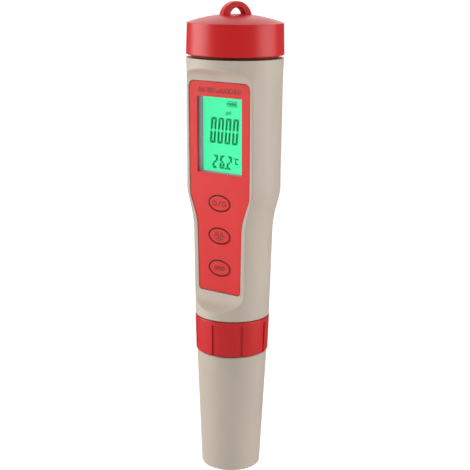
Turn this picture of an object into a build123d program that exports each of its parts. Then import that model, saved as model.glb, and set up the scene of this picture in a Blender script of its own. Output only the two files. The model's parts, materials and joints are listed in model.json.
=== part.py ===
from build123d import *
from math import atan, cos, degrees, radians, sin
import os

os.makedirs("parts", exist_ok=True)

# Hand-held water quality probe. Millimetres, +Z up, origin at the centre of the protective cap's
# base, display facing -Y.

# ---- driving dimensions ----
TOTAL_HEIGHT = 188.0
WALL = 2.0
RUN = 0.1                      # radial clearance of round parts that turn or slide
GAP = 0.3                      # free clearance between moving curved parts
SEAM = 0.05                    # clearance between pieces that rest together
REACH = 30.0                   # half length of cutting tools that run past the whole body

# body of revolution: radius at height, top to bottom
BODY_TOP = 166.73
BODY_BOTTOM = 64.45
BODY_R_RIM = 18.88
BODY_R_TOP = 18.7
BODY_R_TOP_Z = 162.0
BODY_R_SHOULDER = 18.5
SHOULDER_Z = 114.6
BODY_R_WAIST = 15.73
WAIST_Z = 103.3
BODY_R_BOTTOM = 14.86
BODY_R_BOTTOM_Z = 66.0
SHOULDER_BEND = 14.0
WAIST_BEND = 45.0

# flat front face, leaning so that it is deeper at the top
FACE_Y0 = -7.692               # where the face would meet z = 0
FACE_LEAN = 0.0179             # millimetres towards -Y for each millimetre of height
FACE_CORNER_TOP = 160.2
FACE_CORNER_BOTTOM = 71.6
SCOOP_R_TOP = 4.5
SCOOP_R_BOTTOM = 6.0
SCOOP_SLOPE_TOP = 0.4
SCOOP_SLOPE_BOTTOM = 0.66
SCOOP_REACH = 14.0
FACE_EDGE_R = 0.6
FRONT_WALL = 2.9               # thickness of the wall behind the flat face

# face panel
PANEL_TOP = 157.94
PANEL_BOTTOM = 74.5
PANEL_HALF_TOP = 14.5
PANEL_HALF_SHOULDER = 14.3
PANEL_SHOULDER_Z = 113.4
PANEL_HALF_WAIST = 10.65
PANEL_WAIST_Z = 103.2
PANEL_HALF_BOTTOM = 10.0
PANEL_BENDS = (1.5, 22.0, 9.0, 2.5)    # outline radii from the bottom corner to the top
PANEL_EDGE_R = 0.35
PANEL_GAP = 0.15
PANEL_SUNK = 0.2
PANEL_THICK = 1.6
LEDGE = 1.7                    # width of the housing ledge that the panel is glued to

# display stack, depths behind the flat face
WINDOW_HALF = 10.63
WINDOW_TOP = 152.07
WINDOW_BOTTOM = 122.31
BEZEL_WALL = 1.6
WINDOW_LIP = 0.8               # thickness of the panel round the window
PANE_EDGE = 0.9                # how far the clear pane reaches behind the lip
PANE_THICK = 0.6
WINDOW_SEAT = PANEL_SUNK + WINDOW_LIP + 0.02    # depth of the pane's front
LCD_DEPTH = 4.2
LCD_THICK = 1.6
LCD_HALF = 11.8
LCD_TOP = 154.6
LCD_BOTTOM = 119.9
LIGHT_THICK = 1.05
ZEBRA_WIDTH = 1.9
BOARD_DEPTH = 7.0
BOARD_THICK = 1.0
BOARD_HALF = 11.0
BOARD_TOP = 156.5
BOARD_BOTTOM = 73.5
SCREW_PLACES = [(-9.0, 116.6), (9.0, 116.6), (-8.6, 76.4), (8.6, 76.4)]
SCREW_R = 0.8
SCREW_HEAD_R = 1.5
SCREW_HEAD_THICK = 0.8
SCREW_SLOT = (2.2, 0.35)
BOSS_R = 1.9
# chips on the board's back: half width, bottom, top, thickness, place across
CHIPS = [(3.6, 92.0, 99.2, 0.95, 0.0), (2.0, 103.0, 106.0, 0.7, 4.0), (1.6, 103.0, 106.2, 0.7, -3.6)]
RESISTOR_COUNT = 5
RESISTOR_BOTTOM = 110.0
RESISTOR_STEP = 3.0
RESISTOR_SIZE = (0.5, 1.6, 0.55)

# keys
KEY_ZS = {"power": 110.6, "hold": 97.5, "mode": 84.4}
KEY_HALF_W = 4.9
KEY_HALF_H = 2.9
KEY_GAP = 0.55
KEY_SUNK = 0.10
KEY_FLANGE = 0.95
KEY_FLANGE_THICK = 0.55
KEY_FLOAT = 0.15                # between the panel's back and the key's flange
SWITCH_SIZE = 6.0
SWITCH_TOP = 3.3
PLUNGER_R = 1.7

# battery cap and neck
CAP_BOTTOM = 167.9
CAP_EDGE_R = 2.4
CAP_BORE_TOP = 177.3
CAP_BORE_RISE = 3.3             # how much higher the hollow is in its middle
CAP_R_BOTTOM = 19.0
CAP_R_TOP = 18.65
DOME_TOP = 183.2
DOME_R = 55.0
NECK_R = 15.6
NECK_BORE = 14.0
NECK_TOP = 176.0
THREAD_PITCH = 3.0
THREAD_TURNS = 1.4
NECK_THREAD_DEPTH = 0.9
NECK_THREAD_Z = 170.0
NECK_SEAL_WIRE = 0.53
LOOP_R = 6.2
LOOP_HOLE_W = 3.05              # half width and height of the elliptical hole
LOOP_HOLE_H = 3.8
LOOP_DEPTH = 4.0
LOOP_TURN = 60.0               # degrees from the front to the loop's own facing direction

# battery holder, standing behind the circuit board
HOLDER_Y = 6.8
CELL_R = 5.8
CELL_H = 5.4
CELL_COUNT = 4
HOLDER_BORE = 5.95
HOLDER_R = 6.9
HOLDER_BOTTOM = 135.2
HOLDER_TOP = 163.4
BAY_BORE = 7.05
BAY_R = 8.0
BAY_BOTTOM = 132.4
BAY_TOP = 164.4
BAY_FLOOR = 1.4
HOLDER_END = 1.2               # thickness of the tray's end walls
SPRING_ROOM = 2.3

# inner frame that the board is screwed to
SPINE_HALF = 10.2
SPINE_TOP = 136.0
SPINE_BOTTOM = 74.5
SPINE_THICK = 1.6

# lower spigot, lock nut and probe
SPIGOT_R = 11.5
SPIGOT_BORE = 9.6
SPIGOT_END = 54.3
SPIGOT_THREAD_DEPTH = 0.7
SPIGOT_THREAD_Z = 57.0
NUT_TOP = 64.0
NUT_BOTTOM = 49.83
NUT_R_TOP = 14.92
NUT_R_BOTTOM = 14.49
NUT_BORE = 12.55
NUT_TOP_EDGE_R = 0.35
NUT_LOW_EDGE_R = 0.15
NUT_PLAIN_BAND = 1.6
NUT_GROOVES = 8
NUT_GROOVE_PHASE = 5.0
NUT_GROOVE_W = 1.2
NUT_GROOVE_D = 0.5
COLLAR_R = 12.0
COLLAR_TOP = 54.1
COLLAR_THICK = 2.0
PROBE_R = 10.9
PROBE_END = 36.0
PLUG_R = 8.6
PLUG_TOP = 66.2
PIN_TOP = 71.2
PIN_R = 0.65
PIN_COUNT = 5
PIN_CIRCLE = 4.6
BARREL_R = 1.2                 # contact barrels that the pins plug into
SOCKET_R = 11.0
SOCKET_THICK = 2.4
SOCKET_BOARD_R = 9.0
SOCKET_BOARD_Z = 69.2
RIBBON_ROUTE = [(7.4, 70.2), (7.4, 73.6), (2.6, 80.4), (-0.9, 84.0), (-0.9, 88.0)]
RIBBON_WIDTH = 6.0
RIBBON_THICK = 0.4
GUARD_R = 9.4
GUARD_END = 14.0
GUARD_WALL = 1.3
GUARD_SLOT_TOP = 30.0
GUARD_SLOT_WIDTH = 7.0
PROBE_BORE = 7.2
PROBE_FLOOR = 2.0
PH_R = 3.1
PH_BULB_R = 3.5
PH_PLACE = (0.0, 2.4)
REFERENCE_R = 1.7
REFERENCE_PLACE = (-4.9, -2.2)
EC_R = 1.0
EC_PLACES = [(1.4, -4.6), (4.6, -3.4)]
SENSOR_R = 1.6
SENSOR_PLACE = (5.2, 1.4)
SEAL_LOW = 42.35
SEAL_HEIGHT = 1.3
SEAL_GROOVE = 0.55

# protective cap
COVER_TOP = 49.42
COVER_R_TOP = 14.1
COVER_R_BOTTOM = 11.82
COVER_BASE_R = 0.9
COVER_MOUTH_BORE = 11.2
COVER_BORE_TOP = 10.3
COVER_BORE_BOTTOM = 9.8
COVER_FLOOR = 2.0
COVER_STEP_Z = 34.5            # where the bore widens to take the probe body
GATE_DIMPLE_R = 2.2
GATE_DIMPLE_DEPTH = 0.4


def save(shape, node):
    export_step(shape, f"parts/{node}.step")


def turned(points, radii=None):
    """Solid of revolution about Z from an outline of (radius, height) points."""
    if radii:
        outline = FilletPolyline(*points, radius=radii, close=True)
    else:
        outline = Polyline(*points, close=True)
    return revolve(Plane.XZ * make_face(outline), axis=Axis.Z)


def tube(outer, bore, low, high):
    return turned([(bore, low), (outer, low), (outer, high), (bore, high)])


def rod(radius, low, high, x=0.0, y=0.0):
    return Pos(x, y, (low + high) / 2) * Cylinder(radius, high - low)


def ring(major, minor, z):
    return Pos(0, 0, z) * Torus(major, minor)


def face_plane(depth=0.0):
    """Plane parallel to the flat face, `depth` behind it, its local y running up the body."""
    lean = atan(FACE_LEAN)
    outward = Vector(0, -cos(lean), -sin(lean))
    origin = Vector(0, FACE_Y0, 0) - outward * depth
    return Plane(origin=origin, x_dir=(1, 0, 0), z_dir=outward)


def face_slab(sketch, depth, thick):
    """Solid of a sketch in face coordinates, from `depth` behind the face inwards by `thick`."""
    return extrude(face_plane(depth) * sketch, amount=-thick)


def front_block(depth):
    """Everything in front of a plane `depth` behind the flat face."""
    middle = (BODY_TOP + BODY_BOTTOM) / 2
    sheet = Pos(0, middle) * Rectangle(2 * REACH, 5 * REACH)
    return face_slab(sheet, -REACH, REACH + depth)


def face_box(half, low, high, depth, thick, x=0.0):
    sketch = Pos(x, (low + high) / 2) * Rectangle(2 * half, high - low)
    return face_slab(sketch, depth, thick)


def thread_ridge(radius, depth, low, inward=False):
    """Helical ridge of trapezoid section on a cylinder."""
    side = -1 if inward else 1
    path = Helix(pitch=THREAD_PITCH, height=THREAD_PITCH * THREAD_TURNS, radius=radius)
    section_plane = Plane(origin=path @ 0, x_dir=(1, 0, 0), z_dir=path % 0)
    root = 0.7
    crest = 0.35
    foot = -0.3 * side
    points = [(foot, -root), (foot, root), (side * depth, crest), (side * depth, -crest)]
    section = section_plane * make_face(Polyline(*points, close=True))
    return Pos(0, 0, low) * sweep(section, path=path, is_frenet=True)


# ---- main housing ----
def body_outline(inset, top, bottom):
    slope = (BODY_R_WAIST - BODY_R_BOTTOM) / (WAIST_Z - BODY_R_BOTTOM_Z)
    low_r = BODY_R_WAIST - slope * (WAIST_Z - bottom)
    return [
        (0, bottom),
        (low_r - inset, bottom),
        (BODY_R_WAIST - inset, WAIST_Z),
        (BODY_R_SHOULDER - inset, SHOULDER_Z),
        (BODY_R_TOP - inset, BODY_R_TOP_Z),
        (BODY_R_RIM - inset, top),
        (0, top),
    ]


def body_solid(inset, top, bottom):
    radii = [0, 0, WAIST_BEND - inset, SHOULDER_BEND + inset, 0, 0, 0]
    return turned(body_outline(inset, top, bottom), radii)


def face_cutter():
    """What the flat face and its two scooped ends remove from the round body."""
    lean = atan(FACE_LEAN)
    side = Plane(origin=(-REACH, FACE_Y0, 0), x_dir=(0, -sin(lean), cos(lean)), z_dir=(1, 0, 0))
    top_end = FACE_CORNER_TOP + SCOOP_SLOPE_TOP * SCOOP_REACH
    bottom_end = FACE_CORNER_BOTTOM - SCOOP_SLOPE_BOTTOM * SCOOP_REACH
    points = [
        (bottom_end, SCOOP_REACH),
        (FACE_CORNER_BOTTOM, 0),
        (FACE_CORNER_TOP, 0),
        (top_end, SCOOP_REACH),
    ]
    outline = FilletPolyline(*points, radius=[0, SCOOP_R_BOTTOM, SCOOP_R_TOP, 0], close=True)
    return extrude(side * make_face(outline), amount=2 * REACH)


def panel_sketch(grow):
    """Outline of the face panel in face coordinates, grown outwards by `grow`."""
    right = [
        (PANEL_HALF_BOTTOM + grow, PANEL_BOTTOM - grow),
        (PANEL_HALF_WAIST + grow, PANEL_WAIST_Z),
        (PANEL_HALF_SHOULDER + grow, PANEL_SHOULDER_Z),
        (PANEL_HALF_TOP + grow, PANEL_TOP + grow),
    ]
    left = [(-x, z) for x, z in reversed(right)]
    low_bend, waist_bend, shoulder_bend, top_bend = PANEL_BENDS
    radii = [max(low_bend + grow, 0.4), waist_bend, shoulder_bend, top_bend + grow]
    return make_face(FilletPolyline(*right, *left, radius=radii + radii[::-1], close=True))


def main_housing():
    body = body_solid(0, BODY_TOP, BODY_BOTTOM) - face_cutter()
    edges = [e for e in body.edges() if is_face_edge(e)]
    body = fillet(edges, FACE_EDGE_R)
    cavity = body_solid(WALL, BODY_TOP - WALL, BODY_BOTTOM + WALL)
    body -= cavity - front_block(FRONT_WALL)
    pocket_depth = PANEL_SUNK + PANEL_THICK + 0.1
    body -= face_slab(panel_sketch(PANEL_GAP), -1, 1 + pocket_depth)
    body -= face_slab(panel_sketch(-LEDGE), -1, 1 + FRONT_WALL + WALL)
    neck = tube(NECK_R, NECK_BORE, BODY_TOP - 0.5, NECK_TOP)
    neck += thread_ridge(NECK_R, NECK_THREAD_DEPTH, NECK_THREAD_Z)
    body += neck
    body -= rod(NECK_BORE, BODY_TOP - WALL - 0.5, NECK_TOP + 1)
    spigot = tube(SPIGOT_R, SPIGOT_BORE, SPIGOT_END, BODY_BOTTOM + 0.5)
    spigot += thread_ridge(SPIGOT_R, SPIGOT_THREAD_DEPTH, SPIGOT_THREAD_Z)
    body += spigot
    body -= rod(SPIGOT_BORE, SPIGOT_END - 1, BODY_BOTTOM + WALL + 0.5)
    return body


def is_face_edge(edge):
    """True for the long edges where the flat face meets the round body."""
    middle = edge.center()
    lengthwise = edge.bounding_box().size.Z > 3.0
    return lengthwise and middle.Y < -8.0 and abs(middle.X) > 8.0 and 73 < middle.Z < 159


def neck_o_ring():
    """Sealing ring that lies round the neck on the body's rim."""
    return ring(NECK_R + SEAM + NECK_SEAL_WIRE, NECK_SEAL_WIRE, BODY_TOP + SEAM + NECK_SEAL_WIRE)


# ---- face panel and display ----
def face_panel():
    panel = face_slab(panel_sketch(0), PANEL_SUNK, PANEL_THICK)
    front = panel.faces().filter_by(lambda f: abs(f.normal_at().Y) > 0.99)
    front = front.sort_by(Axis.Y)[0]
    panel = fillet(front.outer_wire().edges(), PANEL_EDGE_R)
    panel -= face_box(WINDOW_HALF, WINDOW_BOTTOM, WINDOW_TOP, -1, 6)
    seat = BEZEL_WALL + 0.1
    panel -= face_box(WINDOW_HALF + seat, WINDOW_BOTTOM - seat, WINDOW_TOP + seat,
                      PANEL_SUNK + WINDOW_LIP, 3)
    for z in KEY_ZS.values():
        hole = Pos(0, z) * Ellipse(KEY_HALF_W + KEY_GAP, KEY_HALF_H + KEY_GAP)
        panel -= face_slab(hole, -1, 5)
    return panel


def display_window():
    """Clear pane glued behind the lip of the panel's window."""
    return face_box(WINDOW_HALF + PANE_EDGE, WINDOW_BOTTOM - PANE_EDGE, WINDOW_TOP + PANE_EDGE,
                    WINDOW_SEAT, PANE_THICK)


def lcd_glass():
    front = face_box(LCD_HALF, LCD_BOTTOM, LCD_TOP, LCD_DEPTH, LCD_THICK / 2)
    inner = ZEBRA_WIDTH + 0.4
    back = face_box(LCD_HALF, LCD_BOTTOM + inner, LCD_TOP - inner,
                    LCD_DEPTH + LCD_THICK / 2, LCD_THICK / 2)
    return front + back


def lcd_bezel():
    """Grey frame: it lines the well in front of the glass and boxes in the glass and light."""
    front = WINDOW_SEAT
    bezel = face_box(WINDOW_HALF + BEZEL_WALL, WINDOW_BOTTOM - BEZEL_WALL,
                     WINDOW_TOP + BEZEL_WALL, front, LCD_DEPTH - SEAM - front)
    wall = 1.0
    slack = 2 * SEAM
    box_front = LCD_DEPTH - 0.9
    bezel += face_box(LCD_HALF + wall, LCD_BOTTOM - wall, LCD_TOP + wall,
                      box_front, BOARD_DEPTH - SEAM - box_front)
    bezel -= face_box(WINDOW_HALF, WINDOW_BOTTOM, WINDOW_TOP, -1, 9)
    bezel -= face_box(LCD_HALF + slack, LCD_BOTTOM - slack, LCD_TOP + slack, LCD_DEPTH - SEAM, 8)
    step = PANE_EDGE + SEAM
    bezel -= face_box(WINDOW_HALF + step, WINDOW_BOTTOM - step, WINDOW_TOP + step,
                      front - 1, 1 + PANE_THICK + SEAM)
    return bezel


def lcd_backlight():
    inner = ZEBRA_WIDTH + 0.6
    return face_box(LCD_HALF - 0.2, LCD_BOTTOM + inner, LCD_TOP - inner,
                    LCD_DEPTH + LCD_THICK + 0.03, LIGHT_THICK)


def zebra_strips():
    depth = LCD_DEPTH + LCD_THICK / 2
    thick = BOARD_DEPTH - depth
    low = face_box(LCD_HALF - 1, LCD_BOTTOM + 0.1, LCD_BOTTOM + 0.1 + ZEBRA_WIDTH, depth, thick)
    high = face_box(LCD_HALF - 1, LCD_TOP - 0.1 - ZEBRA_WIDTH, LCD_TOP - 0.1, depth, thick)
    return Compound(children=[low, high])


# ---- circuit board ----
def on_face(shape_z_up, x, z, depth):
    """Place a shape modelled about +Z so that +Z points into the body at a face position."""
    at = face_plane(depth)
    spot = at.origin + at.x_dir * x + at.y_dir * z
    return Plane(origin=spot, x_dir=(1, 0, 0), z_dir=-at.z_dir) * shape_z_up


def drum(radius, length):
    """Cylinder that starts at the local origin and runs along +Z."""
    return Cylinder(radius, length, align=(Align.CENTER, Align.CENTER, Align.MIN))


def circuit_board():
    outline = make_face(FilletPolyline(
        (BOARD_HALF, BOARD_BOTTOM), (BOARD_HALF, BOARD_TOP),
        (-BOARD_HALF, BOARD_TOP), (-BOARD_HALF, BOARD_BOTTOM), radius=1.5, close=True))
    board = face_slab(outline, BOARD_DEPTH, BOARD_THICK)
    for x, z in SCREW_PLACES:
        board -= on_face(drum(SCREW_R + 3 * SEAM, 4), x, z, BOARD_DEPTH - 1)
    return board


def board_chips():
    depth = BOARD_DEPTH + BOARD_THICK
    solids = [face_box(half, low, high, depth, thick, x) for half, low, high, thick, x in CHIPS]
    half, length, thick = RESISTOR_SIZE
    for step in range(RESISTOR_COUNT):
        low = RESISTOR_BOTTOM + RESISTOR_STEP * step
        solids.append(face_box(half, low, low + length, depth, thick, -5.6))
    return Compound(children=solids)


def tact_switches():
    solids = []
    for z in KEY_ZS.values():
        half = SWITCH_SIZE / 2
        body = face_box(half, z - half, z + half, SWITCH_TOP, BOARD_DEPTH - SWITCH_TOP)
        body -= on_face(drum(PLUNGER_R + RUN, 1.8), 0, z, SWITCH_TOP - 0.01)
        solids.append(body)
    return Compound(children=solids)


def key(z):
    """Oval key cap with a hidden flange; the plunger stands behind it."""
    flange_depth = PANEL_SUNK + PANEL_THICK + KEY_FLOAT
    thick = flange_depth - KEY_SUNK
    cap = face_slab(Pos(0, z) * Ellipse(KEY_HALF_W, KEY_HALF_H), KEY_SUNK, thick)
    rim = cap.faces().filter_by(lambda f: abs(f.normal_at().Y) > 0.99).sort_by(Axis.Y)[0].edges()
    cap = fillet(rim, 0.3)
    flange = Pos(0, z) * Ellipse(KEY_HALF_W + KEY_FLANGE, KEY_HALF_H + KEY_FLANGE)
    return cap + face_slab(flange, flange_depth, KEY_FLANGE_THICK)


def plunger(z):
    front = PANEL_SUNK + PANEL_THICK + KEY_FLOAT + KEY_FLANGE_THICK
    return on_face(drum(PLUNGER_R, SWITCH_TOP + 1.0 - front), 0, z, front)


def board_screws():
    length, width = SCREW_SLOT
    solids = []
    for x, z in SCREW_PLACES:
        top = BOARD_DEPTH - SCREW_HEAD_THICK
        head = on_face(drum(SCREW_HEAD_R, SCREW_HEAD_THICK), x, z, top)
        head -= on_face(Box(length, width, SCREW_HEAD_THICK), x, z, top)
        head -= on_face(Box(width, length, SCREW_HEAD_THICK), x, z, top)
        solids.append(head + on_face(drum(SCREW_R, 3.2), x, z, BOARD_DEPTH - 0.1))
    return Compound(children=solids)


# ---- inner frame and battery bay ----
def inner_frame():
    spine_depth = BOARD_DEPTH + BOARD_THICK + 1.3
    frame = face_box(SPINE_HALF, SPINE_BOTTOM, SPINE_TOP, spine_depth, SPINE_THICK)
    for x, z in SCREW_PLACES:
        frame += on_face(drum(BOSS_R, 1.6), x, z, BOARD_DEPTH + BOARD_THICK)
        frame -= on_face(drum(SCREW_R + SEAM, 4), x, z, BOARD_DEPTH + BOARD_THICK - 0.5)
    frame -= face_box(5.0, 78.0, 90.0, spine_depth - 1, 4)
    bay = Pos(0, HOLDER_Y, 0) * tube(BAY_R, BAY_BORE, BAY_BOTTOM, BAY_TOP)
    bay += rod(BAY_R, BAY_BOTTOM, BAY_BOTTOM + BAY_FLOOR, 0, HOLDER_Y)
    frame -= rod(BAY_R - 0.2, BAY_BOTTOM, BODY_TOP, 0, HOLDER_Y)
    return frame + bay


def bay_contacts():
    floor = BAY_BOTTOM + BAY_FLOOR
    solids = []
    for x in (-2.6, 2.6):
        leaf = Pos(x, HOLDER_Y, floor + 0.2) * Box(2.4, 6.0, 0.4)
        tongue = Pos(x, HOLDER_Y + 1.0, floor + 0.75) * Box(1.6, 2.0, 0.7)
        solids.append(leaf + tongue)
    return Compound(children=solids)


def battery_holder():
    """Half-open tray for the stack of cells, with a finger grip that stands up into the cap."""
    tray = Pos(0, HOLDER_Y, 0) * tube(HOLDER_R, HOLDER_BORE, HOLDER_BOTTOM, HOLDER_TOP)
    tray += rod(HOLDER_R, HOLDER_BOTTOM, HOLDER_BOTTOM + HOLDER_END, 0, HOLDER_Y)
    tray += rod(HOLDER_R, HOLDER_TOP - HOLDER_END, HOLDER_TOP, 0, HOLDER_Y)
    side_window = Pos(0, HOLDER_Y + 5, (HOLDER_BOTTOM + HOLDER_TOP) / 2)
    tray -= side_window * Box(11.0, 10, HOLDER_TOP - HOLDER_BOTTOM - 4.0)
    grip = Pos(0, HOLDER_Y, HOLDER_TOP + 5.0) * Box(9.0, 2.0, 10.0)
    grip = fillet(grip.edges().filter_by(Axis.Y), 1.5)
    return tray + grip


def cell_bottom(index):
    return HOLDER_BOTTOM + HOLDER_END + SPRING_ROOM + index * CELL_H


def button_cell(index):
    low = cell_bottom(index)
    can = rod(CELL_R, low, low + CELL_H - 0.35, 0, HOLDER_Y)
    can = fillet(can.edges().filter_by(GeomType.CIRCLE), 0.3)
    return can + rod(CELL_R - 1.0, low + CELL_H - 0.5, low + CELL_H, 0, HOLDER_Y)


def holder_spring():
    """Coil spring that presses the stack of cells against the upper contact."""
    low = HOLDER_BOTTOM + HOLDER_END
    wire = 0.3
    coil = Helix(pitch=0.85, height=1.7, radius=4.2)
    section = Plane(origin=coil @ 0, z_dir=coil % 0) * Circle(wire)
    return Pos(0, HOLDER_Y, low + wire) * sweep(section, path=coil, is_frenet=True)


def holder_contact():
    high = HOLDER_TOP - HOLDER_END
    low = cell_bottom(CELL_COUNT)
    return rod(4.6, low, high, 0, HOLDER_Y)


# ---- battery cap ----
def dome_height(radius):
    """Height of the cap's spherical top at a distance from its axis."""
    return DOME_TOP - DOME_R + (DOME_R ** 2 - radius ** 2) ** 0.5


def battery_cap():
    dome_z = dome_height(CAP_R_TOP)
    side = Line((CAP_R_BOTTOM, CAP_BOTTOM), (CAP_R_TOP, dome_z))
    half_way = (CAP_R_TOP / 2, dome_height(CAP_R_TOP / 2))
    dome = ThreePointArc((CAP_R_TOP, dome_z), half_way, (0, DOME_TOP))
    base = Polyline((0, DOME_TOP), (0, CAP_BOTTOM), (CAP_R_BOTTOM, CAP_BOTTOM))
    shell = revolve(Plane.XZ * make_face(side + dome + base), axis=Axis.Z)
    rounds = shell.edges().filter_by(GeomType.CIRCLE)
    top_round = [e for e in rounds if abs(e.center().Z - dome_z) < 0.1]
    low_round = [e for e in rounds if abs(e.center().Z - CAP_BOTTOM) < 0.1]
    shell = fillet(top_round, CAP_EDGE_R)
    shell = fillet(low_round, 0.4)
    arch = extrude(Circle(LOOP_R) - Ellipse(LOOP_HOLE_W, LOOP_HOLE_H), LOOP_DEPTH / 2, both=True)
    arch = fillet([e for e in arch.edges() if abs(e.center().Z) > 1], 0.6)
    arch = Pos(0, 0, TOTAL_HEIGHT - LOOP_R) * Rot(0, 0, LOOP_TURN) * Rot(90, 0, 0) * arch
    arch -= Pos(0, 0, DOME_TOP - 1.2 - 10) * Box(30, 30, 20)
    shell += arch
    bore = NECK_R + NECK_THREAD_DEPTH + GAP
    hollow = [(0, CAP_BOTTOM - 1), (bore, CAP_BOTTOM - 1), (bore, CAP_BORE_TOP),
              (0, CAP_BORE_TOP + CAP_BORE_RISE)]
    return shell - turned(hollow)


def cap_gasket():
    low = NECK_TOP + 2 * SEAM
    return tube(NECK_R + 1.0, NECK_BORE, low, low + 1.0)


# ---- lock nut ----
def lock_nut():
    nut = turned([(0, NUT_BOTTOM), (NUT_R_BOTTOM, NUT_BOTTOM), (NUT_R_TOP, NUT_TOP), (0, NUT_TOP)])
    nut = fillet(nut.edges().filter_by(GeomType.CIRCLE).sort_by(Axis.Z)[-1], NUT_TOP_EDGE_R)
    nut = fillet(nut.edges().filter_by(GeomType.CIRCLE).sort_by(Axis.Z)[0], NUT_LOW_EDGE_R)
    groove_top = NUT_TOP - NUT_PLAIN_BAND
    lean = degrees(atan((NUT_R_TOP - NUT_R_BOTTOM) / (NUT_TOP - NUT_BOTTOM)))
    slot = Plane.XZ * Pos(0, groove_top - 10) * SlotCenterToCenter(20, NUT_GROOVE_W, rotation=90)
    cutter = Pos(0, NUT_GROOVE_D - NUT_R_TOP, 0) * extrude(slot, amount=3)
    cutter = Pos(0, 0, NUT_TOP) * Rot(lean, 0, 0) * Pos(0, 0, -NUT_TOP) * cutter
    for step in range(NUT_GROOVES):
        nut -= Rot(0, 0, NUT_GROOVE_PHASE + 360.0 / NUT_GROOVES * step) * cutter
    nut -= rod(NUT_BORE, COLLAR_TOP - COLLAR_THICK - 0.1, NUT_TOP + 1)
    nut -= rod(PROBE_R + RUN, NUT_BOTTOM - 1, NUT_TOP)
    return nut


# ---- electrical socket in the housing ----
def pin_places():
    return [(PIN_CIRCLE * cos(radians(a)), PIN_CIRCLE * sin(radians(a)))
            for a in range(0, 360, 360 // PIN_COUNT)]


def probe_socket():
    low = BODY_BOTTOM + WALL
    disc = rod(SOCKET_R, low, low + SOCKET_THICK)
    for x, y in pin_places():
        disc -= rod(BARREL_R + SEAM, low - 1, low + SOCKET_THICK + 1, x, y)
    return disc - front_block(FRONT_WALL + 4 * SEAM)


def socket_contacts():
    low = BODY_BOTTOM + WALL + 0.2
    high = PIN_TOP + 0.8
    solids = []
    for x, y in pin_places():
        barrel = rod(BARREL_R, low, high, x, y) - rod(PIN_R + RUN, low - 1, high - 0.5, x, y)
        solids.append(barrel)
    return Compound(children=solids)


def socket_board():
    disc = rod(SOCKET_BOARD_R, SOCKET_BOARD_Z, SOCKET_BOARD_Z + BOARD_THICK)
    for x, y in pin_places():
        disc -= rod(BARREL_R + SEAM, SOCKET_BOARD_Z - 1, SOCKET_BOARD_Z + BOARD_THICK + 1, x, y)
    return disc - front_block(FRONT_WALL + 4 * SEAM)


def ribbon_cable():
    strip = trace(Polyline(*RIBBON_ROUTE), RIBBON_THICK)
    return Pos(-RIBBON_WIDTH / 2, 0, 0) * extrude(Plane.YZ * strip, amount=RIBBON_WIDTH)


# ---- probe ----
def probe_body():
    """Electrode body: collar under the lock nut, plug above it and slotted guard below it."""
    collar_low = COLLAR_TOP - COLLAR_THICK
    outline = [
        (0, PROBE_END), (GUARD_R, PROBE_END), (PROBE_R, PROBE_END + PROBE_FLOOR),
        (PROBE_R, collar_low),
        (COLLAR_R, collar_low), (COLLAR_R, COLLAR_TOP), (PLUG_R, COLLAR_TOP), (PLUG_R, PLUG_TOP),
        (0, PLUG_TOP),
    ]
    body = turned(outline)
    body -= rod(PROBE_BORE, PROBE_END + PROBE_FLOOR, PLUG_TOP - PROBE_FLOOR)
    guard = tube(GUARD_R, GUARD_R - GUARD_WALL, GUARD_END, PROBE_END)
    slot_low = GUARD_END - 3.0
    slot = Pos(0, -GUARD_R, (slot_low + GUARD_SLOT_TOP) / 2)
    slot *= Box(GUARD_SLOT_WIDTH, GUARD_R, GUARD_SLOT_TOP - slot_low)
    for turn in range(45, 360, 90):
        guard -= Rot(0, 0, turn) * slot
    body += guard
    body -= tube(NUT_R_TOP, PROBE_R - SEAL_GROOVE, SEAL_LOW - SEAM, SEAL_LOW + SEAL_HEIGHT + SEAM)
    for x, y in pin_places():
        body -= rod(PIN_R, PLUG_TOP - 3, PLUG_TOP + 1, x, y)
    for radius, places in ((PH_R, [PH_PLACE]), (REFERENCE_R, [REFERENCE_PLACE]),
                           (EC_R, EC_PLACES), (SENSOR_R, [SENSOR_PLACE])):
        for x, y in places:
            body -= rod(radius, PROBE_END - 1, PROBE_END + 3, x, y)
    return body


def plug_pins():
    return Compound(children=[rod(PIN_R, PLUG_TOP - 4, PIN_TOP, x, y) for x, y in pin_places()])


def ph_electrode():
    stem = rod(PH_R, 22.0, 50.0, *PH_PLACE)
    return stem + Pos(*PH_PLACE, 20.6) * Sphere(PH_BULB_R)


def reference_junction():
    return rod(REFERENCE_R, 33.5, 44.0, *REFERENCE_PLACE)


def ec_electrodes():
    tips = []
    for x, y in EC_PLACES:
        tip = rod(EC_R, 23.0, 44.0, x, y)
        tips.append(fillet(tip.edges().filter_by(GeomType.CIRCLE), 0.4))
    return Compound(children=tips)


def temperature_sensor():
    tip = rod(SENSOR_R, 24.0, 44.0, *SENSOR_PLACE)
    return fillet(tip.edges().filter_by(GeomType.CIRCLE), 0.7)


def cap_seal_ring():
    return tube(COVER_MOUTH_BORE - 0.06, PROBE_R - SEAL_GROOVE, SEAL_LOW, SEAL_LOW + SEAL_HEIGHT)


def plug_seal():
    middle = (PLUG_R + SPIGOT_BORE) / 2
    return ring(middle, (SPIGOT_BORE - PLUG_R) / 2 - 0.06, COLLAR_TOP + 1.2)


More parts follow.
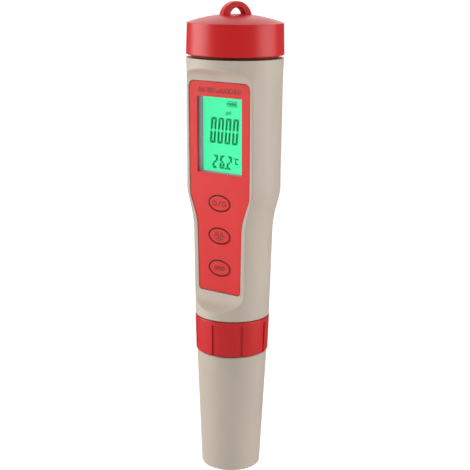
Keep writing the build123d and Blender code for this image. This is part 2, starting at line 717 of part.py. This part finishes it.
# ---- protective cap ----
def protective_cap():
    cup = turned([(0, 0), (COVER_R_BOTTOM, 0), (COVER_R_TOP, COVER_TOP), (0, COVER_TOP)])
    rounds = cup.edges().filter_by(GeomType.CIRCLE).sort_by(Axis.Z)
    cup = fillet(rounds[0], COVER_BASE_R)
    cup = fillet(cup.edges().filter_by(GeomType.CIRCLE).sort_by(Axis.Z)[-1], 0.4)
    hollow = [
        (0, COVER_FLOOR), (COVER_BORE_BOTTOM - 1.0, COVER_FLOOR),
        (COVER_BORE_BOTTOM, COVER_FLOOR + 1.0), (COVER_BORE_TOP, COVER_STEP_Z),
        (COVER_MOUTH_BORE, COVER_STEP_Z + 1.5), (COVER_MOUTH_BORE, COVER_TOP - 0.6),
        (COVER_MOUTH_BORE + 0.6, COVER_TOP), (COVER_MOUTH_BORE + 0.6, COVER_TOP + 1),
        (0, COVER_TOP + 1),
    ]
    cup -= rod(GATE_DIMPLE_R, -1, GATE_DIMPLE_DEPTH)
    return cup - turned(hollow)


# ---- write the nodes ----
SINGLE_NODES = [
    main_housing, neck_o_ring, face_panel, display_window, lcd_glass, lcd_bezel, lcd_backlight,
    zebra_strips, circuit_board, board_chips, tact_switches, board_screws, inner_frame,
    bay_contacts, battery_holder, holder_spring, holder_contact, battery_cap, cap_gasket,
    lock_nut, probe_socket, socket_contacts, socket_board, ribbon_cable, probe_body, plug_pins,
    ph_electrode, reference_junction, ec_electrodes, temperature_sensor, cap_seal_ring,
    plug_seal, protective_cap,
]

for maker in SINGLE_NODES:
    save(maker(), maker.__name__)
for name, height in KEY_ZS.items():
    save(key(height), f"{name}_key")
    save(plunger(height), f"{name}_plunger")
for number in range(CELL_COUNT):
    save(button_cell(number), f"button_cell_{number + 1}")
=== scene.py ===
import json
from math import cos, pi, radians, sin

import bmesh
import bpy
from mathutils import Matrix, Vector

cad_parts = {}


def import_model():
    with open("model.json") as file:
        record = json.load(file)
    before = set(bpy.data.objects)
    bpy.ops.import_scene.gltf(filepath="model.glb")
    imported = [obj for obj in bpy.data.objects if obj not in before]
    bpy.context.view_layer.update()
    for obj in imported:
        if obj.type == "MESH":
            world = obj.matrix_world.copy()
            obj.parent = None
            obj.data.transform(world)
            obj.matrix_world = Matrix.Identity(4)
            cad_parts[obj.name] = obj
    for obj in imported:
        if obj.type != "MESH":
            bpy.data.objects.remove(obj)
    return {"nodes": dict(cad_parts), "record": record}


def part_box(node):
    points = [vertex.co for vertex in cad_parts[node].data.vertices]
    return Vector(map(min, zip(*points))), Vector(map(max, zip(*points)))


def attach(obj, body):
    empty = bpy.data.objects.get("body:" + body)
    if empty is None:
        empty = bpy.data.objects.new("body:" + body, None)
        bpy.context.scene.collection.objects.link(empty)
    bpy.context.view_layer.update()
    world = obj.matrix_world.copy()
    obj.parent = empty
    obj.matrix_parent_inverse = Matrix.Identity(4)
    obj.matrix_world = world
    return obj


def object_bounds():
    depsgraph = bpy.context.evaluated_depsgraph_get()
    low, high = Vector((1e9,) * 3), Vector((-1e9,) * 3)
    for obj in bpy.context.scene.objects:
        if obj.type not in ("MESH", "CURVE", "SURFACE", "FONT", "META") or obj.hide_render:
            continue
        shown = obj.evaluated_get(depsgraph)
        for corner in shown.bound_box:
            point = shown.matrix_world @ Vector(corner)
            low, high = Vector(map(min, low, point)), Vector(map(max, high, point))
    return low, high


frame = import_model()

MM = 0.001
cad_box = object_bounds()
scene = bpy.context.scene
nodes = frame["nodes"]


# ------------------------------------------------------------------ frames taken from the model
def front_plane(node):
    """Matrix of a node's frontmost flat face: origin on the face at x = 0, z = 0,
    x to the right, y up the body, z out of the face."""
    mesh = nodes[node].data
    facing = [p for p in mesh.polygons if p.normal.y < -0.99]
    out = sum((p.normal * p.area for p in facing), Vector()).normalized()
    out.x = 0
    out.normalize()
    reach = max(mesh.vertices[i].co.dot(out) for p in facing for i in p.vertices)
    up = Vector((1, 0, 0)).cross(out) * -1
    foot = Vector((0, reach / out.y, 0))
    return Matrix((
        (1, up.x, out.x, foot.x),
        (0, up.y, out.y, foot.y),
        (0, up.z, out.z, foot.z),
        (0, 0, 0, 1),
    ))


def centre(node):
    low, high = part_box(node)
    return (Vector(low) + Vector(high)) / 2


# ------------------------------------------------------------------ materials
class Shader:
    """A node tree with short calls for the nodes used here."""

    def __init__(self, name):
        self.material = bpy.data.materials.new(name)
        self.material.use_nodes = True
        self.tree = self.material.node_tree
        self.bsdf = self.tree.nodes["Principled BSDF"]
        self.coords = self.add("ShaderNodeTexCoord").outputs["Object"]

    def add(self, kind, **settings):
        node = self.tree.nodes.new(kind)
        for key, value in settings.items():
            setattr(node, key, value)
        return node

    def link(self, source, target):
        self.tree.links.new(source, target)

    def noise(self, scale, detail=3.0, roughness=0.55, stretch=None):
        """Noise value whose grains are about 1 / scale metres across."""
        node = self.add("ShaderNodeTexNoise")
        node.inputs["Scale"].default_value = scale
        node.inputs["Detail"].default_value = detail
        node.inputs["Roughness"].default_value = roughness
        source = self.coords
        if stretch:
            source = self.mapped(stretch)
        self.link(source, node.inputs["Vector"])
        return node.outputs["Fac"]

    def mapped(self, stretch):
        node = self.add("ShaderNodeMapping")
        node.inputs["Scale"].default_value = stretch
        self.link(self.coords, node.inputs["Vector"])
        return node.outputs["Vector"]

    def spread(self, source, low, high, start=0.3, end=0.7):
        """Remap a value between two limits."""
        node = self.add("ShaderNodeMapRange")
        node.inputs["From Min"].default_value = start
        node.inputs["From Max"].default_value = end
        node.inputs["To Min"].default_value = low
        node.inputs["To Max"].default_value = high
        self.link(source, node.inputs["Value"])
        return node.outputs["Result"]

    def blend(self, factor, first, second):
        node = self.add("ShaderNodeMix", data_type="RGBA")
        self.link(factor, node.inputs["Factor"])
        for socket, value in ((node.inputs[6], first), (node.inputs[7], second)):
            if isinstance(value, bpy.types.NodeSocket):
                self.link(value, socket)
            else:
                socket.default_value = (*value, 1)
        return node.outputs[2]

    def math(self, operation, first, second=0.0):
        node = self.add("ShaderNodeMath", operation=operation)
        for socket, value in zip(node.inputs, (first, second)):
            if isinstance(value, bpy.types.NodeSocket):
                self.link(value, socket)
            else:
                socket.default_value = value
        return node.outputs[0]

    def bump(self, height, strength, distance, below=None):
        node = self.add("ShaderNodeBump")
        node.inputs["Strength"].default_value = strength
        node.inputs["Distance"].default_value = distance
        self.link(height, node.inputs["Height"])
        if below:
            self.link(below, node.inputs["Normal"])
        return node.outputs["Normal"]

    def put(self, **inputs):
        """Set or link Principled inputs, with underscores for the spaces in their names."""
        for key, value in inputs.items():
            socket = self.bsdf.inputs[key.replace("_", " ")]
            if isinstance(value, bpy.types.NodeSocket):
                self.link(value, socket)
            elif isinstance(value, tuple):
                socket.default_value = (*value, 1)
            else:
                socket.default_value = value


def tone(colour, factor):
    return tuple(min(1.0, c * factor) for c in colour)


def moulded(name, colour, rough=0.42, grain=0.35, grain_depth=0.012, specular=0.5, mottle=0.05,
            scuffs=0.12):
    """Injection-moulded plastic: spark-eroded grain, faint flow mottling and handling scuffs."""
    s = Shader(name)
    flow = s.noise(90, 4, 0.5, (1, 1, 0.35))
    s.put(Base_Color=s.blend(s.spread(flow, 0, 1), tone(colour, 1 - mottle), tone(colour, 1 + mottle)))
    fine = s.noise(1 / (grain * MM), 2, 0.6)
    patches = s.noise(220, 5, 0.65)
    scratch = s.noise(700, 2, 0.7, (6, 6, 0.35))
    worn = s.math("MULTIPLY", s.spread(scratch, 0, 1, 0.62, 0.72), s.spread(patches, 0, 1, 0.5, 0.7))
    rough_base = s.spread(patches, rough - 0.03, rough + 0.04)
    s.put(Roughness=s.math("ADD", rough_base, s.math("MULTIPLY", worn, scuffs)))
    waves = s.bump(flow, 0.15, 0.05 * MM)
    s.put(Normal=s.bump(fine, 0.5, grain_depth * MM, waves))
    s.put(Specular_IOR_Level=specular)
    return s.material


def metal(name, colour, rough=0.28, stretch=(1, 1, 12), grain_depth=0.004):
    """Machined or drawn metal: fine directional lines and slight tarnish."""
    s = Shader(name)
    lines = s.noise(2500, 2, 0.5, stretch)
    stain = s.noise(400, 5, 0.6)
    s.put(Base_Color=s.blend(s.spread(stain, 0, 1), tone(colour, 0.82), colour))
    s.put(Metallic=1.0, Roughness=s.spread(lines, rough - 0.06, rough + 0.1))
    s.put(Normal=s.bump(lines, 0.4, grain_depth * MM))
    return s.material


def rubber(name, colour, rough=0.55):
    s = Shader(name)
    dust = s.noise(600, 6, 0.7)
    s.put(Base_Color=s.blend(s.spread(dust, 0, 1, 0.45, 0.8), colour, tone(colour, 2.2)))
    s.put(Roughness=s.spread(dust, rough - 0.08, rough + 0.12), Specular_IOR_Level=0.35)
    s.put(Normal=s.bump(s.noise(3000, 3), 0.4, 0.01 * MM))
    return s.material


def solder_mask(name, colour, copper):
    """Circuit board: glossy mask over rows of copper tracks."""
    s = Shader(name)
    tracks = s.add("ShaderNodeTexWave", wave_type="BANDS", bands_direction="X")
    tracks.inputs["Scale"].default_value = 300
    tracks.inputs["Distortion"].default_value = 6
    tracks.inputs["Detail"].default_value = 1
    s.link(s.mapped((1, 1, 0.5)), tracks.inputs["Vector"])
    line = s.spread(tracks.outputs["Fac"], 0, 1, 0.72, 0.8)
    s.put(Base_Color=s.blend(line, colour, copper))
    s.put(Roughness=s.spread(s.noise(900), 0.25, 0.4))
    s.put(Normal=s.bump(line, 0.5, 0.03 * MM))
    return s.material


def clear(name, tint, rough=0.03, gloss_range=(0.002, 0.30)):
    """Clear pane: see-through film, glossier at a glancing angle, with faint hairline scratches."""
    s = Shader(name)
    s.tree.nodes.remove(s.bsdf)
    out = s.tree.nodes["Material Output"]
    through = s.add("ShaderNodeBsdfTransparent")
    through.inputs["Color"].default_value = (*tint, 1)
    gloss = s.add("ShaderNodeBsdfGlossy")
    hair = s.noise(500, 2, 0.7, (8, 8, 0.4))
    s.link(s.spread(hair, rough, rough + 0.1, 0.6, 0.75), gloss.inputs["Roughness"])
    facing = s.add("ShaderNodeLayerWeight")
    facing.inputs["Blend"].default_value = 0.25
    mix = s.add("ShaderNodeMixShader")
    s.link(s.spread(facing.outputs["Facing"], *gloss_range, 0.35, 0.95), mix.inputs[0])
    s.link(through.outputs[0], mix.inputs[1])
    s.link(gloss.outputs[0], mix.inputs[2])
    s.link(mix.outputs[0], out.inputs["Surface"])
    return s.material


def lit(name, colour, strength, rough=0.35, mottle=0.03):
    """A surface lit from behind, slightly uneven as a light guide is."""
    s = Shader(name)
    cloud = s.noise(70, 2, 0.4)
    s.put(Base_Color=s.blend(s.spread(cloud, 0, 1), tone(colour, 0.12), tone(colour, 0.15)))
    s.put(Emission_Color=s.blend(s.spread(cloud, 0, 1), tone(colour, 1 - mottle), colour))
    s.put(Emission_Strength=strength, Roughness=s.spread(s.noise(800), rough, rough + 0.08))
    s.put(Specular_IOR_Level=0.05)
    s.put(Normal=s.bump(s.noise(2500), 0.2, 0.002 * MM))
    return s.material


def printed(name, colour, rough=0.5):
    """Pad-printed ink with a slightly patchy edge of cover."""
    s = Shader(name)
    cover = s.noise(2600, 4, 0.6)
    s.put(Base_Color=s.blend(s.spread(cover, 0, 1, 0.25, 0.6), tone(colour, 1.25), colour))
    s.put(Roughness=s.spread(cover, rough, rough + 0.12), Specular_IOR_Level=0.3)
    s.put(Normal=s.bump(cover, 0.3, 0.006 * MM))
    return s.material


BEIGE = (0.470, 0.402, 0.334)
RED_PANEL = (0.64, 0.022, 0.020)
RED_MOULDED = (0.53, 0.006, 0.007)
LCD_GREEN = (0.080, 0.985, 0.445)
LCD_DARK = (0.0, 0.20, 0.050)

MATERIALS = {
    "beige_plastic": moulded("beige_plastic", BEIGE, rough=0.46, specular=0.40),
    "red_panel": moulded("red_panel", RED_PANEL, rough=0.40, grain=0.25, grain_depth=0.008,
                         specular=0.3),
    "red_key": moulded("red_key", tone(RED_PANEL, 0.97), rough=0.38, grain=0.25, grain_depth=0.008,
                       specular=0.3),
    "red_plastic": moulded("red_plastic", RED_MOULDED, rough=0.34, grain_depth=0.006, mottle=0.04,
                           specular=0.48),
    "clear_window": clear("clear_window", (0.98, 1.0, 0.99)),
    "lcd_glass": lit("lcd_glass", LCD_GREEN, 0.88),
    "backlight": lit("backlight", LCD_GREEN, 0.8),
    # Painted light: the real bezel is plain grey; this colour is tinted magenta to cancel the green
    # glow the display throws on the window well, and lightened against the shade in the well.
    "grey_bezel": moulded("grey_bezel", (0.68, 0.30, 0.49), rough=0.5, grain=0.2),
    "grey_rubber": rubber("grey_rubber", (0.25, 0.25, 0.25)),
    "board_green": solder_mask("board_green", (0.012, 0.14, 0.045), (0.05, 0.26, 0.08)),
    "chip_black": moulded("chip_black", (0.02, 0.02, 0.022), rough=0.55, grain=0.15),
    "switch_black": moulded("switch_black", (0.025, 0.025, 0.025), rough=0.5, grain=0.2),
    "switch_white": moulded("switch_white", (0.72, 0.72, 0.70), rough=0.45, grain=0.2),
    "screw_steel": metal("screw_steel", (0.62, 0.62, 0.60)),
    "frame_white": moulded("frame_white", (0.70, 0.70, 0.67), rough=0.5),
    "gold_contact": metal("gold_contact", (0.95, 0.68, 0.28), rough=0.2),
    "seal_black": rubber("seal_black", (0.018, 0.014, 0.012)),
    # Painted light: the neck O-ring's red-brown colour stands in for red light bounced off the cap
    # into the shaded gap under it.
    "seal_brown": rubber("seal_brown", (0.17, 0.040, 0.020)),
    "socket_black": moulded("socket_black", (0.025, 0.025, 0.03), rough=0.45, grain=0.2),
    "ribbon_grey": moulded("ribbon_grey", (0.40, 0.40, 0.42), rough=0.5),
    "holder_black": moulded("holder_black", (0.025, 0.025, 0.027), rough=0.42, grain=0.25),
    "spring_steel": metal("spring_steel", (0.66, 0.66, 0.66), rough=0.22),
    "cell_steel": metal("cell_steel", (0.72, 0.72, 0.71), rough=0.24, stretch=(12, 12, 1)),
    "probe_plastic": moulded("probe_plastic", tone(BEIGE, 0.96), rough=0.4),
    "ph_glass": clear("ph_glass", (0.93, 0.97, 0.98), gloss_range=(0.05, 0.8)),
    "ceramic_white": rubber("ceramic_white", (0.42, 0.41, 0.38), rough=0.75),
    "electrode_metal": metal("electrode_metal", (0.48, 0.48, 0.49), rough=0.3),
    "sensor_steel": metal("sensor_steel", (0.68, 0.68, 0.68), rough=0.16, stretch=(10, 10, 1)),
}
INK = printed("panel_ink", (0.16, 0.018, 0.015))
KEY_INK = printed("key_ink", (0.14, 0.015, 0.013))
# Painted shade: dark colour for the rings that stand in for the shade in the gaps round the keys.
KEY_GAP_SHADE = rubber("key_seal", (0.030, 0.006, 0.004))
SEGMENT = lit("lcd_segment", LCD_DARK, 1.0, mottle=0.08)

for part in frame["record"]["subparts"]:
    mesh = nodes[part["node"]].data
    mesh.materials.clear()
    mesh.materials.append(MATERIALS[part["material_slot"]])


# ------------------------------------------------------------------ flat graphics
PRINT_THICK = 0.03
PRINT_SUNK = 0.01


class Sheet:
    """Collects thin raised shapes on a plane and turns them into one piece."""

    def __init__(self, plane, lift, thick):
        self.plane = plane
        self.lift = lift
        self.thick = thick
        self.mesh = bmesh.new()

    def polygon(self, points):
        """A prism over an outline of (x, y) points in millimetres, in either direction."""
        area = sum(a[0] * b[1] - b[0] * a[1] for a, b in zip(points, points[1:] + points[:1]))
        if area < 0:
            points = points[::-1]
        rows = []
        for height in (self.lift, self.lift + self.thick):
            row = [self.mesh.verts.new(self.plane @ Vector((x * MM, y * MM, height * MM)))
                   for x, y in points]
            rows.append(row)
        low, high = rows
        self.mesh.faces.new(low[::-1])
        self.mesh.faces.new(high)
        for i in range(len(points)):
            j = (i + 1) % len(points)
            self.mesh.faces.new((low[i], low[j], high[j], high[i]))

    def strip(self, points, width, closed=False):
        """A line of even width through the points, with mitred corners."""
        count = len(points)
        left, right = [], []
        for i, point in enumerate(points):
            here = Vector(point)
            before = Vector(points[i - 1]) if i or closed else None
            after = Vector(points[(i + 1) % count]) if i < count - 1 or closed else None
            into = (here - before).normalized() if before is not None else None
            away = (after - here).normalized() if after is not None else None
            into = away if into is None else into
            away = into if away is None else away
            bisector = (into + away).normalized()
            side = Vector((-bisector.y, bisector.x))
            reach = width / 2 / max(0.35, side.dot(Vector((-into.y, into.x))))
            left.append(here + side * reach)
            right.append(here - side * reach)
        self.band([tuple(p) for p in left], [tuple(p) for p in right], closed)

    def band(self, left, right, closed):
        """One solid between two lines of points that run side by side."""
        rows = []
        for line in (left, right):
            for height in (self.lift, self.lift + self.thick):
                rows.append([self.mesh.verts.new(self.plane @ Vector((x * MM, y * MM, height * MM)))
                             for x, y in line])
        left_low, left_high, right_low, right_high = rows
        count = len(left)
        for i in range(count if closed else count - 1):
            j = (i + 1) % count
            self.mesh.faces.new((right_high[i], right_high[j], left_high[j], left_high[i]))
            self.mesh.faces.new((left_low[i], left_low[j], right_low[j], right_low[i]))
            self.mesh.faces.new((left_high[i], left_high[j], left_low[j], left_low[i]))
            self.mesh.faces.new((right_low[i], right_low[j], right_high[j], right_high[i]))
        if not closed:
            self.mesh.faces.new((left_low[0], right_low[0], right_high[0], left_high[0]))
            self.mesh.faces.new((left_high[-1], right_high[-1], right_low[-1], left_low[-1]))

    def arc(self, middle, radius, start, end, width, steps=20):
        sweep = [radians(start + (end - start) * i / steps) for i in range(steps + 1)]
        points = [(middle[0] + radius * cos(a), middle[1] + radius * sin(a)) for a in sweep]
        if abs(end - start) >= 360:
            self.strip(points[:-1], width, closed=True)
        else:
            self.strip(points, width)

    def bar(self, left, right, low, high):
        self.polygon([(left, low), (right, low), (right, high), (left, high)])

    def disc(self, middle, radius, steps=20):
        turn = [2 * pi * i / steps for i in range(steps)]
        self.polygon([(middle[0] + radius * cos(a), middle[1] + radius * sin(a)) for a in turn])

    def piece(self, name, body, material):
        data = bpy.data.meshes.new(name)
        self.mesh.normal_update()
        self.mesh.to_mesh(data)
        self.mesh.free()
        data.materials.append(material)
        thing = bpy.data.objects.new(name, data)
        scene.collection.objects.link(thing)
        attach(thing, body)


# Segments of a digit: a top, b and c right, d bottom, e and f left, g middle.
DIGIT_SEGMENTS = {"0": "abcdef", "2": "abged", "6": "afgedc"}


def digit(sheet, char, corner, width, height, stroke, slant):
    """A seven-segment digit from its lower left corner, leaning right by `slant`."""
    half = height / 2
    gap = stroke * 0.13

    def at(x, y):
        return (corner[0] + x + slant * y, corner[1] + y)

    def level(y, up):
        """Flat segment whose outer side is at `y`; `up` is the way its tapered side faces."""
        inner = y + up * stroke
        return [at(gap, y), at(width - gap, y), at(width - stroke - gap, inner),
                at(stroke + gap, inner)]

    def side(x, inward, low, high, low_cut, high_cut):
        inner = x + inward * stroke
        return [at(x, low + gap), at(x, high - gap), at(inner, high - high_cut - gap),
                at(inner, low + low_cut + gap)]

    mid = stroke / 2
    shapes = {
        "a": level(height, -1),
        "d": level(0, 1),
        "g": [at(gap + mid, half), at(stroke + gap, half + mid), at(width - stroke - gap, half + mid),
              at(width - mid - gap, half), at(width - stroke - gap, half - mid),
              at(stroke + gap, half - mid)],
        "f": side(0, 1, half, height, mid, stroke),
        "b": side(width, -1, half, height, mid, stroke),
        "e": side(0, 1, 0, half, stroke, mid),
        "c": side(width, -1, 0, half, stroke, mid),
    }
    for segment in DIGIT_SEGMENTS[char]:
        sheet.polygon(shapes[segment])


# ------------------------------------------------------------------ display
def reading(sheet, base):
    """The upper line: four zeros."""
    width, height, stroke, slant = 2.68, 10.1, 0.98, 0.085
    start, pitch = -7.5, 3.53
    for i in range(4):
        digit(sheet, "0", (start + pitch * i, base), width, height, stroke, slant)


def temperature(sheet, base):
    """The lower line: three digits with a point, a degree ring and a C."""
    width, height, stroke, slant = 2.3, 5.25, 0.90, 0.10
    start, pitch = -6.25, 3.38
    for i, char in enumerate("262"):
        digit(sheet, char, (start + pitch * i, base), width, height, stroke, slant)
    point_x, point_rise, point_r = 0.15, 0.2, 0.40
    sheet.disc((point_x, base + point_rise), point_r)
    ring_x, ring_rise, ring_r, ring_line = 4.40, 4.5, 0.27, 0.22
    sheet.arc((ring_x, base + ring_rise), ring_r, 0, 360, ring_line, 12)
    c_low, c_top, c_line = base + 2.55, base + 4.4, 0.46
    sheet.strip([(6.25, c_top), (5.1, c_top), (4.95, c_low), (6.1, c_low)], c_line)


def battery_symbol(sheet, y):
    """Outline with a terminal at its left end and three bars inside."""
    left, right, half, line = 1.3, 5.5, 0.95, 0.22
    corners = [(left, y - half), (right, y - half), (right, y + half), (left, y + half)]
    sheet.strip(corners, line, closed=True)
    terminal_left, terminal_right, terminal_half = 0.8, 1.25, 0.45
    sheet.bar(terminal_left, terminal_right, y - terminal_half, y + terminal_half)
    bar_start, bar_pitch, bar_width, bar_half = 1.9, 1.15, 0.85, 0.55
    for i in range(3):
        x = bar_start + bar_pitch * i
        sheet.bar(x, x + bar_width, y - bar_half, y + bar_half)


def unit_symbol(sheet, y):
    """The letters p and H."""
    thin, bold = 0.24, 0.26
    stem_x, stem_drop, stem_rise = 0.50, 0.45, 1.0
    sheet.strip([(stem_x, y - stem_drop), (stem_x, y + stem_rise)], thin)
    bowl_x, bowl_rise, bowl_r, bowl_end = 0.95, 0.6, 0.36, 130
    sheet.arc((bowl_x, y + bowl_rise), bowl_r, -bowl_end, bowl_end, thin, 12)
    post_left, post_right, post_rise, post_clear = 1.75, 2.65, 1.5, 0.17
    for x in (post_left, post_right):
        sheet.strip([(x, y), (x, y + post_rise)], bold)
    bridge = y + post_rise / 2
    sheet.strip([(post_left + post_clear, bridge), (post_right - post_clear, bridge)], thin)


def display_graphics():
    glass = front_plane("lcd_glass")
    window_low, window_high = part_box("display_window")
    middle = (window_low[2] + window_high[2]) / 2 / MM
    sheet = Sheet(glass, 0.01, PRINT_THICK)
    reading(sheet, middle - 3.6)
    temperature(sheet, middle - 13.5)
    battery_symbol(sheet, middle + 12.1)
    unit_symbol(sheet, middle + 7.9)
    sheet.piece("lcd_segments", "housing", SEGMENT)


# ------------------------------------------------------------------ printing on the panel and the keys
def header_graphics():
    """Row of small pictograms over the window, split by slanting strokes: a drop and two posts,
    waves, a row of growing bars, two rings, and a thermometer with its scale."""
    panel = front_plane("face_panel")
    window_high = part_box("display_window")[1]
    base = window_high[2] / MM + 0.72
    tall, line = 1.85, 0.32
    rows = (0.3, 0.95, 1.6)
    sheet = Sheet(panel, -PRINT_SUNK, PRINT_THICK)

    lean = 0.3
    for x in (-6.6, -2.3, 2.3, 6.4):
        sheet.strip([(x - lean, base), (x + lean, base + tall)], line)

    drop_x, drop_half, foot_half = -9.3, 0.6, 0.4
    shoulder, heel, toe = base + 0.85, base + 0.2, base + 0.05
    drop = [(drop_x, base + tall), (drop_x - drop_half, shoulder), (drop_x - foot_half, heel),
            (drop_x, toe), (drop_x + foot_half, heel), (drop_x + drop_half, shoulder)]
    sheet.strip(drop, line, closed=True)
    for x in (-8.1, -7.5):
        sheet.strip([(x, base), (x, base + tall)], line)

    wave_start, wave_step, wave_rise = -5.7, 0.34, 0.12
    for row in rows:
        wave = [(wave_start + wave_step * i, base + row + (wave_rise if i % 2 else -wave_rise))
                for i in range(9)]
        sheet.strip(wave, line)

    bar_start, bar_pitch = -1.35, 0.68
    for i in range(5):
        x = bar_start + bar_pitch * i
        sheet.strip([(x, base), (x, base + tall * (0.4 + 0.15 * i))], line * 1.1)

    ring_r = 0.76
    sheet.arc((3.75, base + tall / 2), ring_r, 0, 360, line, 16)
    sheet.arc((5.35, base + tall / 2), ring_r, 40, 320, line, 16)

    bulb_x, bulb_rise, bulb_r, stem_rise = 7.5, 0.45, 0.48, 0.8
    sheet.disc((bulb_x, base + bulb_rise), bulb_r)
    sheet.strip([(bulb_x, base + stem_rise), (bulb_x, base + tall)], line * 1.2)
    for row in rows:
        sheet.strip([(8.3, base + row), (9.2, base + row)], line)
    sheet.strip([(9.8, base), (9.8, base + tall)], line)
    sheet.piece("panel_pictograms", "housing", INK)


def power_sign(sheet, y, line):
    """Power ring, slanting stroke and plain ring."""
    ring_x, ring_r = 2.3, 0.9
    sheet.arc((-ring_x, y), ring_r, 125, 415, line)
    sheet.strip([(-ring_x, y + 0.2), (-ring_x, y + 1.25)], line)
    sheet.strip([(-0.45, y - 1.1), (0.45, y + 1.1)], line)
    sheet.arc((ring_x, y), ring_r, 0, 360, line)


def hold_sign(sheet, y, line):
    """Four posts over a level line, and a ring between two dashes."""
    for x in (-1.65, -0.75, 0.75, 1.65):
        sheet.strip([(x, y + 0.4), (x, y + 1.75)], line)
    sheet.strip([(-2.6, y), (2.6, y)], line * 0.8)
    ring_y = y - 1.15
    sheet.arc((0, ring_y), 0.6, 0, 360, line)
    for side in (-1, 1):
        sheet.strip([(1.1 * side, ring_y), (1.9 * side, ring_y)], line)


def mode_sign(sheet, y, line):
    """Three rings in a row."""
    for x in (-1.75, 0, 1.75):
        sheet.arc((x, y), 0.72, 0, 360, line, 14)


KEY_SIGNS = {"power": power_sign, "hold": hold_sign, "mode": mode_sign}


def key_graphics():
    line = 0.38
    for name, draw in KEY_SIGNS.items():
        key = f"{name}_key"
        sheet = Sheet(front_plane(key), -PRINT_SUNK, PRINT_THICK)
        draw(sheet, centre(key).z / MM, line)
        sheet.piece(f"{name}_sign", f"{name}_button", KEY_INK)


def key_gap_shades():
    """Painted shade: a dark ring round each key, in the gap between the key and the panel, standing in
    for the shade in that gap.
    """
    depth, thick, width = 0.3, 0.3, 0.36
    # A key's box is its hidden flange, which reaches this far past the panel's hole.
    flange_reach = 0.4
    turn = [2 * pi * i / 64 for i in range(64)]
    for name in KEY_SIGNS:
        low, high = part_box(f"{name}_key")
        y = centre(f"{name}_key").z / MM
        half_w = (high[0] - low[0]) / 2 / MM - flange_reach
        half_h = (high[2] - low[2]) / 2 / MM - flange_reach
        outer = [(half_w * cos(a), y + half_h * sin(a)) for a in turn]
        inner = [((half_w - width) * cos(a), y + (half_h - width) * sin(a)) for a in turn]
        sheet = Sheet(front_plane("face_panel"), -depth, thick)
        sheet.band(inner, outer, True)
        sheet.piece(f"{name}_seal", "housing", KEY_GAP_SHADE)


display_graphics()
header_graphics()
key_graphics()
key_gap_shades()


# ------------------------------------------------------------------ stage
def pale(name, colour, glow):
    s = Shader(name)
    cloud = s.noise(3, 3)
    s.put(Base_Color=s.blend(s.spread(cloud, 0, 1), tone(colour, 0.985), colour))
    s.put(Roughness=0.8, Specular_IOR_Level=0.1)
    s.put(Emission_Color=(1.0, 1.0, 1.0), Emission_Strength=glow)
    return s.material


def stage_piece(name, material):
    """Background that throws no shadow on the object and doesn't show in its gloss."""
    thing = bpy.context.object
    thing.name = name
    thing.data.materials.append(material)
    thing.visible_glossy = False
    thing.visible_shadow = False
    return thing


def floor():
    """Pale floor and a far wall. The floor lies below the base by more than the travel of the
    pieces that pull off downwards, so that they stay in sight."""
    travel = 0.1
    reach = 8.0
    wall_r = reach * 0.9
    wall_sunk = 1.0
    pale_grey = (0.20, 0.20, 0.20)
    low = cad_box[0][2] - travel
    bpy.ops.mesh.primitive_plane_add(size=2 * reach, location=(0, 0, low))
    stage_piece("floor", pale("pale_floor", pale_grey, 1.0))
    wall_middle = low + reach / 2 - wall_sunk
    bpy.ops.mesh.primitive_cylinder_add(vertices=96, radius=wall_r, depth=reach,
                                        location=(0, 0, wall_middle))
    wall = stage_piece("far_wall", pale("pale_wall", pale_grey, 1.0))
    wall.visible_diffuse = False


CAMERA_AZIMUTH = 35.6
CAMERA_DISTANCE = 0.45145
CAMERA_HEIGHT = 0.2019
CAMERA_PITCH = 13.17
CAMERA_ROLL = 0.65
CAMERA_YAW = -0.093
CAMERA_LENS = 88.86
CAMERA_SENSOR = 36
LIGHT_TARGET_Z = 0.1
SKY_STRENGTH = 0.145


def softbox(name, azimuth, elevation, distance, width, height, power):
    """Area light that faces the object, at an azimuth measured from the camera's own."""
    turn = radians(CAMERA_AZIMUTH + azimuth)
    rise = radians(elevation)
    target = Vector((0, 0, LIGHT_TARGET_Z))
    spot = target + distance * Vector((sin(turn) * cos(rise), -cos(turn) * cos(rise), sin(rise)))
    lamp = bpy.data.lights.new(name, "AREA")
    lamp.shape = "RECTANGLE"
    lamp.size = width
    lamp.size_y = height
    lamp.energy = power
    thing = bpy.data.objects.new(name, lamp)
    thing.location = spot
    thing.rotation_euler = (target - spot).to_track_quat("-Z", "Y").to_euler()
    thing.visible_camera = False
    scene.collection.objects.link(thing)


def camera():
    turn = radians(CAMERA_AZIMUTH)
    aim = turn + radians(CAMERA_YAW)
    pitch = radians(CAMERA_PITCH)
    roll = radians(CAMERA_ROLL)
    spot = Vector((sin(turn) * CAMERA_DISTANCE, -cos(turn) * CAMERA_DISTANCE, CAMERA_HEIGHT))
    ahead = Vector((-sin(aim), cos(aim), 0))
    look = ahead * cos(pitch) - Vector((0, 0, sin(pitch)))
    right = Vector((ahead.y, -ahead.x, 0))
    up = right.cross(look)
    right, up = right * cos(roll) + up * sin(roll), up * cos(roll) - right * sin(roll)
    lens = bpy.data.cameras.new("camera")
    lens.lens = CAMERA_LENS
    lens.sensor_width = CAMERA_SENSOR
    thing = bpy.data.objects.new("camera", lens)
    rotation = Matrix((right, up, -look)).transposed().to_4x4()
    thing.matrix_world = Matrix.Translation(spot) @ rotation
    scene.collection.objects.link(thing)
    scene.camera = thing


def world():
    sky = bpy.data.worlds.new("studio")
    sky.use_nodes = True
    back = sky.node_tree.nodes["Background"]
    back.inputs["Color"].default_value = (1.0, 1.0, 1.0, 1)
    back.inputs["Strength"].default_value = SKY_STRENGTH
    scene.world = sky


floor()
world()
softbox("left_box", azimuth=-93, elevation=12, distance=0.9, width=0.85, height=0.9, power=8.5)
softbox("right_box", azimuth=79, elevation=12, distance=0.9, width=0.75, height=0.9, power=5.3)
softbox("top_box", azimuth=0, elevation=75, distance=0.9, width=0.9, height=0.6, power=4.2)
softbox("back_box", azimuth=180, elevation=26, distance=1.2, width=1.4, height=0.8, power=3.9)
camera()
scene.view_settings.view_transform = "Standard"
